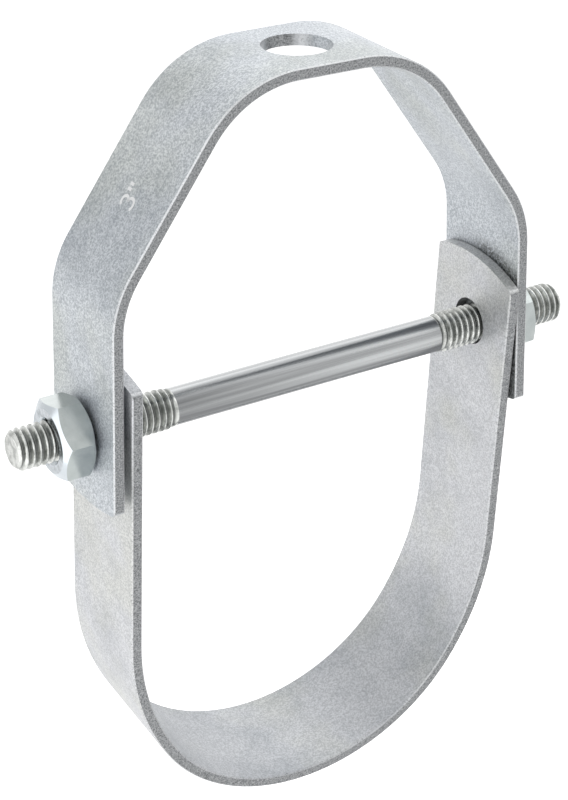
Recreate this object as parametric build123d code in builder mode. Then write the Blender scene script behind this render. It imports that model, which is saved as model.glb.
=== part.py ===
"""Clevis pipe hanger: a folded upper yoke, a lower U cradle, a cross stud and two hex nuts.

Frame: origin on the rod hole axis, in the yoke's flat top face. X runs along the cross stud,
Y across the strap and Z up. All sizes are in millimetres.
"""

from build123d import *
import math
import os

os.makedirs("parts", exist_ok=True)

# strap stock shared by the yoke and the cradle
strap_width = 29.3
strap_thickness = 2.66
edge_break = 0.3
strap_corner_round = 1.6

# yoke
stud_drop = 77.4
top_flat_half = 20.7
upper_bend_radius = 24.6
lower_bend_above_stud = 32.5
lower_bend_radius = 22.4
yoke_half_opening = 51.45
yoke_leg_flare = 1.7
left_leg_below_stud = 17.2
right_leg_below_stud = 15.9
yoke_end_arc_radius = 60.0
rod_hole_diameter = 15.7
yoke_stud_hole_diameter = 10.4

# cradle
cradle_half_opening = 47.6
cradle_depth = 108.3
cradle_bottom_radius = 44.45
cradle_side_radius = 65.0
left_ear_above_hole = 16.3
left_ear_arc_radius = 80.0
right_ear_above_hole = 17.5
right_ear_arc_radius = 38.0
cradle_stud_hole_diameter = 11.4
cradle_lift = 0.85
cradle_shift = 0.5
cradle_swing = 6.0

# cross stud, 3/8 in coarse thread at both ends, lying a little out of level in its holes
stud_tilt = 1.07
stud_major_diameter = 9.525
stud_shank_diameter = 8.58
stud_left_end = -71.2
stud_right_end = 72.6
left_thread_end = -32.6
right_thread_end = 37.4
thread_runout = 1.4
stud_chamfer = 1.1

# plain hex nuts
nut_across_flats = 16.7
nut_height = 8.0
nut_bore_clearance = 0.03
nut_countersink = 0.7
nut_chamfer_angle = 30.0
nut_face_ratio = 0.88
nut_seat_gap = 0.06
left_nut_turn = 51.0
right_nut_turn = 25.0

stud_z = -stud_drop
half_width = strap_width / 2
reach = 300.0

# the stud's own frame, with X along its axis; the stud, nuts, holes and cradle are set out from it
stud_frame = Location((0, 0, stud_z), (0, -stud_tilt, 0))
stud_section_plane = Plane(stud_frame * Location(Plane.XZ))
stud_cross_plane = Plane(stud_frame * Location(Plane.YZ))
stud_axis = Axis(stud_section_plane.origin, stud_section_plane.x_dir)


def strap_end_outline(end_z, arc_radius, upward):
    """Outline of a strap seen flat-on, running away from one end that is cut to a shallow arc."""
    side = 1 if upward else -1
    shoulder_z = end_z - side * (arc_radius - math.sqrt(arc_radius**2 - half_width**2))
    far_z = end_z - side * reach
    with BuildSketch() as outline:
        with BuildLine():
            ThreePointArc((-half_width, shoulder_z), (0, end_z), (half_width, shoulder_z))
            Polyline(
                (half_width, shoulder_z),
                (half_width, far_z),
                (-half_width, far_z),
                (-half_width, shoulder_z),
            )
        make_face()
        end_corners = outline.vertices().sort_by_distance((0, far_z, 0))[-2:]
        fillet(end_corners, strap_corner_round)
    return outline.sketch


# yoke: flat top, large upper bends, inclined sides, lower bends, legs that flare a little
flare = math.tan(math.radians(yoke_leg_flare))
left_foot_z = stud_z - left_leg_below_stud
right_foot_z = stud_z - right_leg_below_stud
foot_z = min(left_foot_z, right_foot_z)
foot_half = yoke_half_opening + flare * (stud_z - foot_z)
lower_corner_z = stud_z + lower_bend_above_stud
corner_half = yoke_half_opening - flare * lower_bend_above_stud

with BuildPart() as leg_trim:
    for foot, side in ((left_foot_z, -1), (right_foot_z, 1)):
        with BuildSketch(Plane.YZ):
            add(strap_end_outline(foot, yoke_end_arc_radius, upward=False))
        extrude(amount=side * reach)

with BuildPart() as yoke:
    with BuildSketch(Plane.XZ):
        with BuildLine() as yoke_fold:
            Polyline(
                (-foot_half, foot_z),
                (-corner_half, lower_corner_z),
                (-top_flat_half, -strap_thickness),
                (top_flat_half, -strap_thickness),
                (corner_half, lower_corner_z),
                (foot_half, foot_z),
            )
            fillet(yoke_fold.vertices().group_by(Axis.Y)[1], lower_bend_radius)
            fillet(yoke_fold.vertices().group_by(Axis.Y)[-1], upper_bend_radius)
            offset(amount=strap_thickness, side=Side.LEFT)
        make_face()
    extrude(amount=half_width, both=True)
    yoke_sides = yoke.faces().sort_by(Axis.Y)
    yoke_side_edges = yoke_sides[0].edges() + yoke_sides[-1].edges()
    chamfer(yoke_side_edges.filter_by(lambda edge: edge.length > 2 * strap_thickness), edge_break)
    add(leg_trim.part, mode=Mode.INTERSECT)
    with BuildSketch(Plane.XY):
        Circle(rod_hole_diameter / 2)
    extrude(amount=-2 * strap_thickness, mode=Mode.SUBTRACT)
    with BuildSketch(stud_cross_plane):
        Circle(yoke_stud_hole_diameter / 2)
    extrude(amount=reach, both=True, mode=Mode.SUBTRACT)
yoke.part.label = "yoke"
export_step(yoke.part, "parts/yoke.step")

# cradle: straight ears and legs, side arcs and a bottom arc to the pipe's radius
cradle_frame = stud_frame * Location((cradle_shift, 0, 0), (cradle_swing, 0, 0))
cradle_section_plane = Plane(cradle_frame * Location(Plane.XZ))
cradle_flat_plane = Plane(cradle_frame * Location(Plane.YZ))
hole_z = cradle_lift
radius_step = cradle_side_radius - cradle_bottom_radius
blend_sine = (cradle_side_radius - cradle_half_opening) / radius_step
blend_angle = math.degrees(math.asin(blend_sine))
bottom_centre_z = hole_z - cradle_depth + cradle_bottom_radius
side_centre_x = radius_step * blend_sine
side_centre_z = bottom_centre_z + radius_step * math.cos(math.radians(blend_angle))
left_ear_top_z = hole_z + left_ear_above_hole
right_ear_top_z = hole_z + right_ear_above_hole
left_ear = (left_ear_top_z, left_ear_arc_radius, -1)
right_ear = (right_ear_top_z, right_ear_arc_radius, 1)

with BuildPart() as ear_trim:
    for ear_top_z, arc_radius, side in (left_ear, right_ear):
        with BuildSketch(cradle_flat_plane):
            add(strap_end_outline(ear_top_z, arc_radius, upward=True))
        extrude(amount=side * reach)

with BuildPart() as cradle:
    with BuildSketch(cradle_section_plane):
        with BuildLine():
            Line((-cradle_half_opening, right_ear_top_z), (-cradle_half_opening, side_centre_z))
            CenterArc((side_centre_x, side_centre_z), cradle_side_radius, 180, 90 - blend_angle)
            CenterArc((0, bottom_centre_z), cradle_bottom_radius, 270 - blend_angle, 2 * blend_angle)
            CenterArc((-side_centre_x, side_centre_z), cradle_side_radius, blend_angle - 90, 90 - blend_angle)
            Line((cradle_half_opening, side_centre_z), (cradle_half_opening, right_ear_top_z))
            offset(amount=strap_thickness, side=Side.RIGHT)
        make_face()
    extrude(amount=half_width, both=True)
    across = Axis(cradle_section_plane.origin, cradle_section_plane.z_dir)
    cradle_sides = cradle.faces().sort_by(across)
    cradle_side_edges = cradle_sides[0].edges() + cradle_sides[-1].edges()
    chamfer(cradle_side_edges.filter_by(lambda edge: edge.length > 2 * strap_thickness), edge_break)
    add(ear_trim.part, mode=Mode.INTERSECT)
    with BuildSketch(cradle_flat_plane):
        with Locations((0, hole_z)):
            Circle(cradle_stud_hole_diameter / 2)
    extrude(amount=reach, both=True, mode=Mode.SUBTRACT)
cradle.part.label = "cradle"
export_step(cradle.part, "parts/cradle.step")

# cross stud: full diameter over the threads, a thinner plain shank between, chamfered ends
major_radius = stud_major_diameter / 2
shank_radius = stud_shank_diameter / 2

with BuildPart() as cross_stud:
    with BuildSketch(stud_section_plane):
        with BuildLine():
            Polyline(
                (stud_left_end, 0),
                (stud_left_end, major_radius - stud_chamfer),
                (stud_left_end + stud_chamfer, major_radius),
                (left_thread_end - thread_runout, major_radius),
                (left_thread_end, shank_radius),
                (right_thread_end, shank_radius),
                (right_thread_end + thread_runout, major_radius),
                (stud_right_end - stud_chamfer, major_radius),
                (stud_right_end, major_radius - stud_chamfer),
                (stud_right_end, 0),
                close=True,
            )
        make_face()
    revolve(axis=stud_axis)
cross_stud.part.label = "cross_stud"
export_step(cross_stud.part, "parts/cross_stud.step")

# hex nuts: both faces chamfered to a circle, bores countersunk, seated on the flared yoke legs
flats_radius = nut_across_flats / 2
corner_radius = flats_radius / math.cos(math.radians(30))
face_radius = nut_face_ratio * flats_radius
chamfer_depth = (corner_radius - face_radius) * math.tan(math.radians(nut_chamfer_angle))
bore_radius = major_radius + nut_bore_clearance
leg_face_x = yoke_half_opening + strap_thickness / math.cos(math.radians(yoke_leg_flare))


def hex_nut(side, turn):
    """Solid of one nut; side is -1 for the left nut and 1 for the right one."""
    lean = math.radians(-side * stud_tilt)
    flared_reach = leg_face_x + face_radius * (flare * math.cos(lean) + math.sin(lean))
    seat_x = flared_reach / (math.cos(lean) - flare * math.sin(lean)) + nut_seat_gap
    inner_x = side * seat_x
    outer_x = side * (seat_x + nut_height)
    with BuildPart() as nut:
        with BuildSketch(stud_cross_plane.offset(inner_x)):
            RegularPolygon(flats_radius, 6, major_radius=False, rotation=turn)
        extrude(amount=side * nut_height)
        with BuildSketch(stud_section_plane):
            with BuildLine():
                Polyline(
                    (inner_x, 0),
                    (inner_x, face_radius),
                    (inner_x + side * chamfer_depth, corner_radius),
                    (outer_x - side * chamfer_depth, corner_radius),
                    (outer_x, face_radius),
                    (outer_x, 0),
                    close=True,
                )
            make_face()
        revolve(axis=stud_axis, mode=Mode.INTERSECT)
        with BuildSketch(stud_section_plane):
            with BuildLine():
                Polyline(
                    (inner_x, 0),
                    (inner_x, bore_radius + nut_countersink),
                    (inner_x + side * nut_countersink, bore_radius),
                    (outer_x - side * nut_countersink, bore_radius),
                    (outer_x, bore_radius + nut_countersink),
                    (outer_x, 0),
                    close=True,
                )
            make_face()
        revolve(axis=stud_axis, mode=Mode.SUBTRACT)
    return nut.part


with BuildPart() as left_nut:
    add(hex_nut(-1, left_nut_turn))
left_nut.part.label = "left_nut"
export_step(left_nut.part, "parts/left_nut.step")

with BuildPart() as right_nut:
    add(hex_nut(1, right_nut_turn))
right_nut.part.label = "right_nut"
export_step(right_nut.part, "parts/right_nut.step")
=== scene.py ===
"""Looks of the clevis pipe hanger: camera, zinc finishes, rolled threads, size mark and light.

Lengths are in metres. The origin is the middle of the rod hole, in the top face of the yoke.
X runs along the stud, Y runs across the strap and Z points up.
"""

import math

import bmesh
import bpy
from mathutils import Matrix, Vector


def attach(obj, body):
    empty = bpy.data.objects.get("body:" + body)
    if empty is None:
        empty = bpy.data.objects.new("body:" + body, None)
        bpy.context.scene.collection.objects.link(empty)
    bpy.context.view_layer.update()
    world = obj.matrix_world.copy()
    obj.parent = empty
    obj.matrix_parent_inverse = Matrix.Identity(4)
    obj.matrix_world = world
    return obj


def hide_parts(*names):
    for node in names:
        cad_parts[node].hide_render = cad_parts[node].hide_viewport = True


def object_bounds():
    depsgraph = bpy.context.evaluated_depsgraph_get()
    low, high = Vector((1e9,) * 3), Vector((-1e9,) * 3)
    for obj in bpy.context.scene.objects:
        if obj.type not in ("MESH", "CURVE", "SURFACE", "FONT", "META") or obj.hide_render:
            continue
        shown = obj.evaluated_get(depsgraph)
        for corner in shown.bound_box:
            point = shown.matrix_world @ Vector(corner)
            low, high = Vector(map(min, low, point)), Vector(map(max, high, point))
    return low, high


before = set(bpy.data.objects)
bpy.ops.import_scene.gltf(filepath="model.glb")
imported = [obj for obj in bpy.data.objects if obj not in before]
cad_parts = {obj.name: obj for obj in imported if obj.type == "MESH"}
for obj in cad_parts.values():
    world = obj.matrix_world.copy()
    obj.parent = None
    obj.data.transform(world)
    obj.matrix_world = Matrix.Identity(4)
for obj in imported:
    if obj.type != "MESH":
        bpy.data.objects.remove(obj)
cad_box = [list(corner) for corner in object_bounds()]

MM = 0.001


# ---------------------------------------------------------------- shared helpers
def put(name, data):
    """Make an object of some data and link it to the scene."""
    thing = bpy.data.objects.new(name, data)
    bpy.context.collection.objects.link(thing)
    return thing


def mesh_of(build, name, material):
    """Turn a finished bmesh into a mesh of one material, with its normals made to agree."""
    bmesh.ops.recalc_face_normals(build, faces=build.faces)
    mesh = bpy.data.meshes.new(name)
    build.to_mesh(mesh)
    build.free()
    mesh.materials.append(material)
    return mesh


def new_material(name):
    material = bpy.data.materials.new(name)
    material.use_nodes = True
    return material, material.node_tree.nodes["Principled BSDF"]


def spread(start, stop, steps):
    """Evenly spaced numbers from start to stop, both included."""
    return [start + (stop - start) * k / steps for k in range(steps + 1)]


# ---------------------------------------------------------------- camera
SENSOR = 36
FOCAL_RATIO = 2.8  # focal length over the image's longer side
CLIP_NEAR, CLIP_FAR = 0.01, 20
CAMERA_AT = Vector((-0.23959, -0.39474, 0.14343))
AZIMUTH, ELEVATION, ROLL = 30.915, 26.276, -0.025


def make_camera():
    data = bpy.data.cameras.new("camera")
    data.sensor_width = SENSOR
    data.lens = FOCAL_RATIO * SENSOR
    data.clip_start, data.clip_end = CLIP_NEAR, CLIP_FAR
    a, e = math.radians(AZIMUTH), math.radians(ELEVATION)
    ahead = Vector((math.sin(a) * math.cos(e), math.cos(a) * math.cos(e), -math.sin(e)))
    roll = Matrix.Rotation(math.radians(ROLL), 3, "Z")
    turn = ahead.to_track_quat("-Z", "Y").to_matrix() @ roll
    camera = put("camera", data)
    camera.matrix_world = Matrix.Translation(CAMERA_AT) @ turn.to_4x4()
    bpy.context.scene.camera = camera


make_camera()


# ---------------------------------------------------------------- node helper
class Nodes:
    """One material, with short ways to add and join its shader nodes."""

    def __init__(self, name):
        self.material, self.shader = new_material(name)
        self.tree = self.material.node_tree
        self.coordinates = self.tree.nodes.new("ShaderNodeTexCoord")

    def add(self, kind, inputs=None, **settings):
        node = self.tree.nodes.new("ShaderNode" + kind)
        for key, value in settings.items():
            setattr(node, key, value)
        for key, value in (inputs or {}).items():
            self.feed(node.inputs[key], value)
        return node

    def feed(self, socket, value):
        """Join another node's socket, or set a constant."""
        if isinstance(value, bpy.types.NodeSocket):
            self.tree.links.new(value, socket)
        else:
            socket.default_value = value

    def paint(self, socket, colour):
        """Feed a colour, given as a socket or as red, green and blue."""
        self.feed(socket, (*colour, 1) if isinstance(colour, tuple) else colour)

    def parts(self, output):
        """X, Y and Z of one of the object's texture coordinates."""
        vector = self.coordinates.outputs[output]
        return self.add("SeparateXYZ", {"Vector": vector}).outputs

    def noise(self, stretch, detail, rough):
        """Noise fixed to the object, with so many cells to the metre along each axis."""
        vector = self.coordinates.outputs["Object"]
        mapping = self.add("Mapping", {"Vector": vector, "Scale": stretch})
        settings = {"Scale": 1.0, "Detail": detail, "Roughness": rough}
        node = self.add("TexNoise", {"Vector": mapping.outputs["Vector"], **settings})
        return node.outputs["Fac"]

    def ramp(self, value, stops):
        node = self.add("ValToRGB", {"Fac": value})
        elements = node.color_ramp.elements
        while len(elements) < len(stops):
            elements.new(0.5)
        for element, (at, colour) in zip(elements, stops):
            element.position = at
            element.color = (*colour, 1)
        return node.outputs["Color"]

    def math(self, operation, a, b=0.0, clamp=False):
        node = self.add("Math", {0: a, 1: b}, operation=operation, use_clamp=clamp)
        return node.outputs[0]

    def product(self, first, *others):
        for other in others:
            first = self.math("MULTIPLY", first, other)
        return first

    def mix(self, factor, a, b, blend="MIX"):
        node = self.add("Mix", data_type="RGBA", blend_type=blend, clamp_factor=True)
        self.feed(node.inputs[0], factor)
        self.paint(node.inputs[6], a)
        self.paint(node.inputs[7], b)
        return node.outputs[2]

    def span(self, value, low, high, to_low=0.0, to_high=1.0):
        """Rise evenly from to_low to to_high as the value goes from low to high."""
        source = {"Value": value, "From Min": low, "From Max": high}
        node = self.add("MapRange", {**source, "To Min": to_low, "To Max": to_high})
        return node.outputs["Result"]


# ---------------------------------------------------------------- galvanized straps
# Painted highlight: the pale tone laid on the chamfers of the straps.
PAINTED_EDGE_HIGHLIGHT = (0.80, 0.81, 0.82)
# Multiplied in for the random clouds, and as painted shade on faces that look up.
CLOUD_AND_PAINTED_SHADE = (0.58, 0.60, 0.62)
WARM_TINT = (0.98, 0.975, 0.90)
# Painted shadow: the near-black laid on the right leg just above the cradle's ear.
PAINTED_EAR_SHADOW = (0.12, 0.125, 0.12)
SHEARED_TONES = [
    (0.34, (0.12, 0.125, 0.13)),
    (0.5, (0.32, 0.33, 0.34)),
    (0.66, (0.54, 0.55, 0.56)),
]
# Ranges of one component of the normal, over which a kind of face fades in.
UPWARD = (0.1, 0.5)
BROKEN_EDGE = (0.5, 0.6)
SHEARED_EDGE = (0.80, 0.93)
INSIDE_OF_LEG = (0.6, 0.9)
# Painted shadow on the right leg: a dark band just above the ear's arc, where the ear meets the
# leg, and on the front half only.
EAR_ARC_HEIGHT, EAR_ARC_SLOPE, EAR_ARC_BEND = -0.05805, 0.055, 13.16
EAR_SHADOW_HEIGHTS = (0.0008, 0.0042)
RIGHT_LEG = (0.040, 0.048)
FRONT_HALF = (0.004, -0.002)
EAR_SHADOW_PATCHES = (0.40, 0.56)
GRAIN_CONTRAST = (0.43, 0.57)
CLOUDS, CLOUD_SHARE = (0.44, 0.70), 0.5
TINTS, TINT_SHARE = (0.46, 0.62), 0.7
NOISE_RANGE = (0.3, 0.7)
STRAP_ROUGHNESS = (0.38, 0.55)
WORN_SMOOTHER = 0.15
STRAP_METAL = 0.5
GRAIN_BUMP, GRAIN_HEIGHT = 0.5, 0.1 * MM


def painted_ear_shadow_mask(n, normal, place):
    """Mask of the painted shadow on the inside of the right leg, a band that follows the arc of
    the cradle's ear.
    """
    across = place["Y"]
    curve = n.product(across, across, -EAR_ARC_BEND)
    slope = n.math("MULTIPLY", across, EAR_ARC_SLOPE)
    arc = n.math("ADD", n.math("ADD", curve, slope), EAR_ARC_HEIGHT)
    above = n.math("SUBTRACT", place["Z"], arc)
    inward = n.math("MULTIPLY", normal["X"], -1.0)
    return n.product(
        n.span(inward, *INSIDE_OF_LEG),
        n.span(place["X"], *RIGHT_LEG),
        n.span(above, *EAR_SHADOW_HEIGHTS, 1.0, 0.0),
        n.span(across, *FRONT_HALF),
        n.span(n.noise((1300, 1300, 1300), 3, 0.8), *EAR_SHADOW_PATCHES),
    )


def galvanized(name, light, dark, seed, shade_heights, shade_strength, edge_highlight, ear_shadow):
    """Rolled strap with a matt zinc coat: fine grain, soft clouds, speckled sheared edges and a
    painted highlight on the chamfers.

    Faces that look up carry painted shade, darkest at the first of the two shade heights and
    unshaded at the second.
    """
    n = Nodes(name)
    normal, place = n.parts("Normal"), n.parts("Object")

    mottle = n.noise((1000, 1010 + seed, 990), 4, 0.7)
    grain = n.noise((2300, 2400, 2350 + seed), 2, 0.7)
    tone = n.math("ADD", n.product(mottle, 0.3), n.product(grain, 0.7))
    face = n.mix(n.span(tone, *GRAIN_CONTRAST), dark, light)

    cloud = n.span(n.noise((46 + seed, 46, 46), 6, 0.7), *CLOUDS, 0.0, CLOUD_SHARE)
    lowest, highest = shade_heights
    # Painted shade on faces that look up, below a given height; the random clouds are added to it.
    shaded_zone = n.product(n.span(normal["Z"], *UPWARD), n.span(place["Z"], highest, lowest))
    cloud_and_shade = n.math("ADD", cloud, n.product(shaded_zone, shade_strength), clamp=True)
    face = n.mix(cloud_and_shade, face, CLOUD_AND_PAINTED_SHADE, blend="MULTIPLY")
    tint = n.span(n.noise((27, 31, 24 + seed), 3, 0.6), *TINTS, 0.0, TINT_SHARE)
    face = n.mix(tint, face, WARM_TINT, blend="MULTIPLY")
    # Painted shadow: a dark band above the ear's arc on the inside of the right leg.
    if ear_shadow:
        face = n.mix(painted_ear_shadow_mask(n, normal, place), face, PAINTED_EAR_SHADOW)

    facing = n.math("ABSOLUTE", normal["Y"])
    sheared = n.span(facing, *SHEARED_EDGE)
    speckled = n.ramp(n.noise((2600, 1500, 2600), 3, 0.7), SHEARED_TONES)
    face = n.mix(sheared, face, speckled)
    # Painted highlight: the chamfers between the sheared edges and the wide faces take a pale
    # tone, and are also a little smoother.
    worn = n.math("SUBTRACT", n.span(facing, *BROKEN_EDGE), sheared, clamp=True)
    face = n.mix(n.product(worn, edge_highlight), face, PAINTED_EDGE_HIGHLIGHT)

    n.feed(n.shader.inputs["Base Color"], face)
    n.feed(n.shader.inputs["Metallic"], STRAP_METAL)
    rough = n.span(tone, *NOISE_RANGE, *STRAP_ROUGHNESS)
    rough = n.math("ADD", rough, n.product(worn, -WORN_SMOOTHER))
    n.feed(n.shader.inputs["Roughness"], rough)
    relief = {"Height": tone, "Strength": GRAIN_BUMP, "Distance": GRAIN_HEIGHT}
    n.feed(n.shader.inputs["Normal"], n.add("Bump", relief).outputs["Normal"])
    return n.material


# ---------------------------------------------------------------- plated nuts and stud
NUT_FLAT_TONES = ((0.40, 0.435, 0.43), (0.49, 0.525, 0.52))
NUT_FACE_TONES = ((0.34, 0.37, 0.39), (0.50, 0.53, 0.56))
# Painted highlight: the chamfers are given a paler tone than the flats.
NUT_CHAMFER_HIGHLIGHT = (0.53, 0.57, 0.60)
# Ranges of the normal's share along the nut's axis, over which a kind of face fades in.
NUT_CHAMFER = (0.45, 0.75)
NUT_FACE = (0.93, 0.985)
NUT_WEAR = (0.35, 0.6)
NUT_ROUGHNESS = (0.16, 0.24)

# Painted reflection: the shank's dark and light streaks stand partly for drawing marks and partly
# for reflections.
SHANK_TONES = ((0.19, 0.195, 0.20), (0.56, 0.575, 0.58))
SHANK_CONTRAST = (0.40, 0.60)
STUD_ROUGHNESS = (0.20, 0.32)
THREAD_STAIN = (0.15, 0.16, 0.15)
STAINS, STAIN_SHARE = (0.42, 0.62), 0.6
# Tones from crest to root of the threads: the roots are darkened with painted shade.
THREAD_CREST_TO_ROOT_SHADE = [
    (0.0, (0.68, 0.69, 0.67)),
    (0.5, (0.54, 0.55, 0.53)),
    (0.85, (0.34, 0.35, 0.34)),
    (1.0, (0.15, 0.155, 0.15)),
]


def nut_finish():
    """Bright bluish zinc plating: grey-green flats, chamfers with a painted highlight and a
    slightly worn face.
    """
    n = Nodes("nut_plate")
    tone = n.noise((260, 260, 260), 3, 0.5)
    flat = n.mix(n.span(tone, *NOISE_RANGE), *NUT_FLAT_TONES)
    axial = n.math("ABSOLUTE", n.parts("Normal")["X"])
    face = n.span(axial, *NUT_FACE)
    chamfer = n.math("SUBTRACT", n.span(axial, *NUT_CHAMFER), face, clamp=True)
    worn = n.span(n.noise((700, 700, 700), 3, 0.7), *NUT_WEAR)
    # Painted highlight: the chamfers take a paler tone than the flats.
    body = n.mix(chamfer, flat, NUT_CHAMFER_HIGHLIGHT)
    body = n.mix(face, body, n.mix(worn, *NUT_FACE_TONES))
    n.feed(n.shader.inputs["Base Color"], body)
    n.feed(n.shader.inputs["Metallic"], 1.0)
    n.feed(n.shader.inputs["Roughness"], n.span(tone, *NOISE_RANGE, *NUT_ROUGHNESS))
    return n.material


def stud_finish():
    """Drawn rod with long light and dark streaks, partly drawing marks and partly painted
    reflections, and threads with painted shade towards the root.
    """
    n = Nodes("stud_plate")
    # Painted reflection: long light and dark streaks along the shank, partly drawing marks and
    # partly reflections painted in.
    broad = n.noise((5, 230, 230), 2, 0.5)
    fine = n.noise((12, 1100, 1100), 3, 0.6)
    drawn_marks_and_reflections = n.math("ADD", n.product(broad, 0.75), n.product(fine, 0.25))
    shank = n.mix(n.span(drawn_marks_and_reflections, *SHANK_CONTRAST), *SHANK_TONES)
    depth = n.add("Attribute", attribute_name="depth")
    threaded = n.add("Attribute", attribute_name="threaded")
    stain = n.span(n.noise((170, 420, 420), 3, 0.6), *STAINS, 0.0, STAIN_SHARE)
    # Painted shade: the threads grow darker towards their roots.
    thread = n.mix(stain, n.ramp(depth.outputs["Fac"], THREAD_CREST_TO_ROOT_SHADE), THREAD_STAIN)
    n.feed(n.shader.inputs["Base Color"], n.mix(threaded.outputs["Fac"], shank, thread))
    n.feed(n.shader.inputs["Metallic"], 1.0)
    n.feed(n.shader.inputs["Roughness"], n.span(drawn_marks_and_reflections, *NOISE_RANGE, *STUD_ROUGHNESS))
    return n.material


# ---------------------------------------------------------------- finishes on the CAD pieces
NUT_EDGE = 0.16 * MM
SHARP_ANGLE = 22


def dress(node, material):
    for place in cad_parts[node].material_slots:
        place.material = material


def soften(node, width):
    """Break a CAD piece's sharp edges with a small bevel modifier."""
    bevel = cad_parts[node].modifiers.new("soft_edges", "BEVEL")
    bevel.width = width
    bevel.segments = 2
    bevel.limit_method = "ANGLE"
    bevel.angle_limit = math.radians(SHARP_ANGLE)
    bevel.harden_normals = True


yoke_zinc = galvanized(
    "yoke_zinc",
    light=(0.70, 0.73, 0.76),
    dark=(0.39, 0.42, 0.455),
    seed=3,
    shade_heights=(-0.045, -0.014),
    shade_strength=0.4,
    edge_highlight=0.6,
    ear_shadow=True,
)
cradle_zinc = galvanized(
    "cradle_zinc",
    light=(0.73, 0.74, 0.76),
    dark=(0.49, 0.50, 0.52),
    seed=11,
    shade_heights=(-0.165, -0.12),
    shade_strength=0.45,
    edge_highlight=0.25,
    ear_shadow=False,
)
nut_plate = nut_finish()
stud_plate = stud_finish()
dress("yoke", yoke_zinc)
dress("cradle", cradle_zinc)
for nut in ("left_nut", "right_nut"):
    dress(nut, nut_plate)
    soften(nut, NUT_EDGE)


# ---------------------------------------------------------------- stud with rolled threads
STUD_CENTRE = Vector((0, 0, -77.4 * MM))
STUD_TILT = 1.07
STUD_LEFT, STUD_RIGHT = -71.2 * MM, 72.6 * MM
LEFT_THREAD_END, RIGHT_THREAD_END = -32.6 * MM, 37.4 * MM
STUD_RADIUS = 4.7625 * MM
SHANK_RADIUS = 4.29 * MM
CHAMFER = 1.1 * MM
PITCH = 25.4 / 16 * MM
THREAD_DEPTH = 0.6134 * PITCH
CREST_FLAT = ROOT_FLAT = 0.16  # shares of one pitch
RUNOUT = 1.6 * PITCH
AROUND = 64
ROWS_PER_PITCH = 14
SHANK_ROWS = 12
END_RIM = CHAMFER / 4  # rows nearer to an end than this show the cut end
END_DEPTH = 0.3  # tone of the cut ends, on the scale of thread_fall


def thread_fall(x, turn):
    """How far the flank lies below the crest, 0 to 1, at x and at a share of a full turn."""
    away = abs((x / PITCH - turn) % 1 - 0.5) * 2
    return min(max((away - CREST_FLAT) / (1 - CREST_FLAT - ROOT_FLAT), 0), 1)


def stud_radius_at(x, turn):
    """Radius of the stud's surface at x, at an angle given as a share of a full turn."""
    from_end = min(x - STUD_LEFT, STUD_RIGHT - x)
    from_shank = max(LEFT_THREAD_END - x, x - RIGHT_THREAD_END)
    if from_shank <= 0:
        return SHANK_RADIUS
    threaded = STUD_RADIUS - thread_fall(x, turn) * THREAD_DEPTH
    radius = SHANK_RADIUS + (threaded - SHANK_RADIUS) * min(from_shank / RUNOUT, 1)
    return min(radius, STUD_RADIUS - CHAMFER + from_end)


def thread_rows(start, stop):
    return spread(start, stop, math.ceil((stop - start) / (PITCH / ROWS_PER_PITCH)))


def stud_rows():
    """Places along the stud: close together over the threads, far apart over the shank."""
    shank = spread(LEFT_THREAD_END, RIGHT_THREAD_END, SHANK_ROWS)[1:-1]
    left = thread_rows(STUD_LEFT, LEFT_THREAD_END)
    return left + shank + thread_rows(RIGHT_THREAD_END, STUD_RIGHT)


def make_stud():
    """The stud as a stack of rings along X, with its thread tones stored on the vertices."""
    build = bmesh.new()
    depth = build.verts.layers.float.new("depth")
    threaded = build.verts.layers.float.new("threaded")
    rings = []
    for x in stud_rows():
        at_end = min(x - STUD_LEFT, STUD_RIGHT - x) < END_RIM
        on_shank = LEFT_THREAD_END <= x <= RIGHT_THREAD_END
        ring = []
        for k in range(AROUND):
            turn = k / AROUND
            angle = 2 * math.pi * k / AROUND
            radius = stud_radius_at(x, turn)
            vertex = build.verts.new((x, radius * math.sin(angle), radius * math.cos(angle)))
            vertex[depth] = END_DEPTH if at_end else thread_fall(x, turn)
            vertex[threaded] = 0 if on_shank else 1
            ring.append(vertex)
        rings.append(ring)
    for a, b in zip(rings, rings[1:]):
        for k in range(AROUND):
            m = (k + 1) % AROUND
            build.faces.new((a[k], a[m], b[m], b[k]))
    build.faces.new(rings[0])
    build.faces.new(list(reversed(rings[-1])))
    mesh = mesh_of(build, "threaded_stud", stud_plate)
    for face in mesh.polygons:
        face.use_smooth = len(face.vertices) == 4
    piece = put("threaded_stud", mesh)
    tilt = Matrix.Rotation(math.radians(-STUD_TILT), 4, "Y")
    piece.matrix_world = Matrix.Translation(STUD_CENTRE) @ tilt
    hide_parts("cross_stud")
    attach(piece, "stud")


make_stud()


# ---------------------------------------------------------------- size mark in white ink
INCLINE_FOOT = Vector((-50.485, 0, -44.9)) * MM
INCLINE_HEAD = Vector((-20.7, 0, -2.66)) * MM
STRAP_THICKNESS = 2.66 * MM
INK_LIFT = 0.02 * MM
INK_WHITE = (0.88, 0.89, 0.9, 1)
INK_ROUGHNESS = 0.6
STROKE = 0.75 * MM
FIGURE_AT = 19.2 * MM
# The two bowls of the figure: place across the strap, radius, first and last angle.
BOWLS = (
    (1.15 * MM, 1.2 * MM, 150, -75),
    (-1.2 * MM, 1.3 * MM, 75, -150),
)
BOWL_STEPS = 14
TICKS_AT = (21.9 * MM, 23.1 * MM)
TICK_ENDS = (2.4 * MM, 0.9 * MM)


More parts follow.
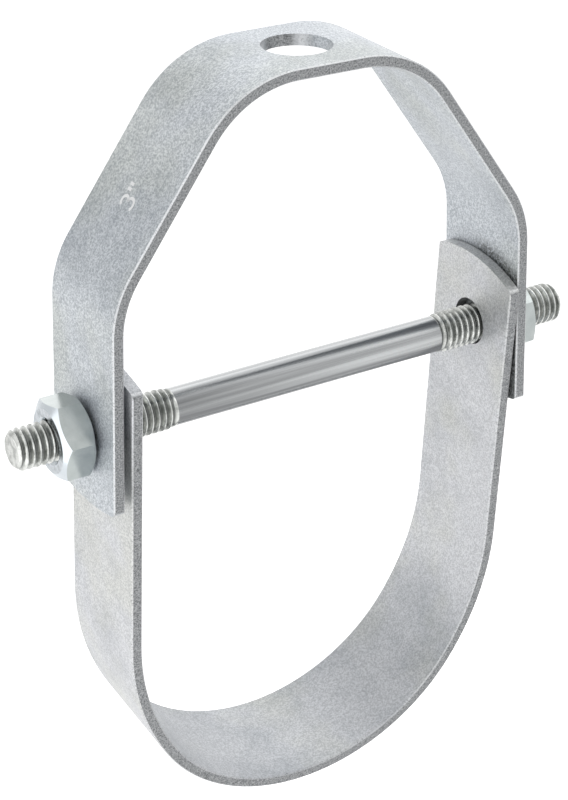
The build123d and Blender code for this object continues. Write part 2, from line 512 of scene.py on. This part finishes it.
def ink_ribbon(build, points):
    """Flat stroke along points, each given as (up the strap, across the strap)."""
    along = (INCLINE_HEAD - INCLINE_FOOT).normalized()
    across = Vector((0, 1, 0))
    out = along.cross(across)
    base = INCLINE_FOOT + out * (STRAP_THICKNESS + INK_LIFT)
    edges = []
    for k, point in enumerate(points):
        before, after = points[max(k - 1, 0)], points[min(k + 1, len(points) - 1)]
        way = Vector((after[0] - before[0], after[1] - before[1])).normalized()
        normal = Vector((-way.y, way.x)) * STROKE / 2
        pair = []
        for side in (1, -1):
            u, v = point[0] + side * normal.x, point[1] + side * normal.y
            pair.append(build.verts.new(base + along * u + across * v))
        edges.append(pair)
    for a, b in zip(edges, edges[1:]):
        build.faces.new((a[0], a[1], b[1], b[0]))


def bowl(across, radius, start, stop):
    """Points along one bowl of the figure, from one angle to another in degrees."""
    angles = [math.radians(degrees) for degrees in spread(start, stop, BOWL_STEPS)]
    return [
        (FIGURE_AT + radius * math.cos(angle), across + radius * math.sin(angle))
        for angle in angles
    ]


def make_size_mark():
    """A plain figure 3 and the two ticks of an inch mark, read up the strap."""
    build = bmesh.new()
    for shape in BOWLS:
        ink_ribbon(build, bowl(*shape))
    for tick in TICKS_AT:
        ink_ribbon(build, [(tick, end) for end in TICK_ENDS])
    ink, shader = new_material("white_ink")
    shader.inputs["Base Color"].default_value = INK_WHITE
    shader.inputs["Roughness"].default_value = INK_ROUGHNESS
    mark = put("size_mark", mesh_of(build, "size_mark", ink))
    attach(mark, "yoke")


make_size_mark()


# ---------------------------------------------------------------- floor, world and lamps
WHITE = (1, 1, 1, 1)
FLOOR_COLOUR = (0.9, 0.9, 0.9, 1)
FLOOR_HALF, FLOOR_DROP = 6.0, 0.6
FLOOR_LIFT = 0.62
FILL = 0.5
# Each lamp's name, place, size and power in watts. All of them face the stud.
LAMPS = [
    ("overhead", (0.45, 0.1, 1.0), (1.6, 1.6), 5),
    ("back_bank", (0.75, 1.1, 0.55), (1.8, 1.8), 5.5),
    ("left_low_bank", (-1.0, 0.1, -0.3), (1.2, 1.2), 4),
    ("front_left_strip", (-0.95, -0.85, 0.45), (0.5, 1.0), 1.4),
]


def seen_directly(tree):
    """1 for camera, glossy and transmission rays, so that they meet a white backdrop, else 0."""
    rays = tree.nodes.new("ShaderNodeLightPath")
    seen = rays.outputs["Is Camera Ray"]
    for kind in ("Is Glossy Ray", "Is Transmission Ray"):
        either = tree.nodes.new("ShaderNodeMath")
        either.operation = "MAXIMUM"
        tree.links.new(seen, either.inputs[0])
        tree.links.new(rays.outputs[kind], either.inputs[1])
        seen = either.outputs[0]
    return seen


def level(tree, unseen, seen, socket):
    """Feed one strength to rays that see the backdrop and another to the rest."""
    span = tree.nodes.new("ShaderNodeMapRange")
    span.inputs["To Min"].default_value = unseen
    span.inputs["To Max"].default_value = seen
    tree.links.new(seen_directly(tree), span.inputs["Value"])
    tree.links.new(span.outputs["Result"], socket)


def make_floor():
    """A square floor well below the hanger, lifted to white only where it is seen."""
    mesh = bpy.data.meshes.new("floor")
    height = cad_box[0][2] - FLOOR_DROP
    signs = ((-1, -1), (1, -1), (1, 1), (-1, 1))
    corners = [(x * FLOOR_HALF, y * FLOOR_HALF, height) for x, y in signs]
    mesh.from_pydata(corners, [], [(0, 1, 2, 3)])
    material, shader = new_material("pale_floor")
    shader.inputs["Base Color"].default_value = FLOOR_COLOUR
    shader.inputs["Emission Color"].default_value = WHITE
    level(material.node_tree, 0.0, FLOOR_LIFT, shader.inputs["Emission Strength"])
    mesh.materials.append(material)
    floor = put("floor", mesh)


def make_world():
    world = bpy.data.worlds.new("studio")
    bpy.context.scene.world = world
    world.use_nodes = True
    backdrop = world.node_tree.nodes["Background"]
    backdrop.inputs["Color"].default_value = WHITE
    level(world.node_tree, FILL, 1.0, backdrop.inputs["Strength"])


def make_lamp(name, at, size, power):
    data = bpy.data.lights.new(name, "AREA")
    data.shape = "RECTANGLE"
    data.size, data.size_y = size
    data.energy = power
    lamp = put(name, data)
    lamp.location = at
    aim = STUD_CENTRE - Vector(at)
    lamp.rotation_euler = aim.to_track_quat("-Z", "Y").to_euler()


make_floor()
make_world()
for lamp in LAMPS:
    make_lamp(*lamp)

bpy.context.scene.view_settings.view_transform = "Standard"
